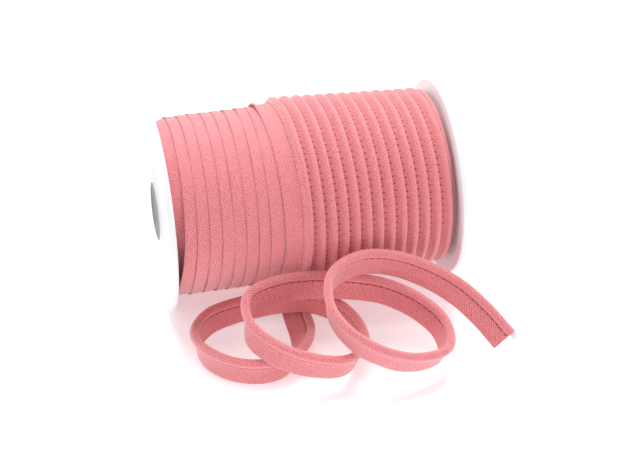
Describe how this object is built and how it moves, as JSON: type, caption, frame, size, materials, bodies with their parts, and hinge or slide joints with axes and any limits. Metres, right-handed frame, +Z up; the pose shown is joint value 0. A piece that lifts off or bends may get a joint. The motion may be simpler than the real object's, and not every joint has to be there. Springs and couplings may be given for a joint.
{
  "type": "roll of piping trim",
  "caption": "Narrow corded piping trim wound on a flat-flanged spool, its loose end lying in loops in front.",
  "frame": {"origin": "on the surface that the spool stands on, below the middle of the spool", "axes": "+X along the spool's axis towards its right flange, -Y towards the loose loops in front, +Z up"},
  "size_m": [0.1407, 0.1349, 0.0859],
  "materials": {
    "spool_plastic": "white moulded board or plastic, satin",
    "trim_cotton": "coral pink woven cotton, matte, bias cut",
    "core_cotton": "white twisted cotton filler cord"
  },
  "bodies": {
    "root": {"core_tube": "spool_plastic", "flange_left": "spool_plastic", "flange_right": "spool_plastic", "wound_trim": "trim_cotton", "loose_trim": "trim_cotton", "cord_core_end": "core_cotton"}
  },
  "joints": []
}
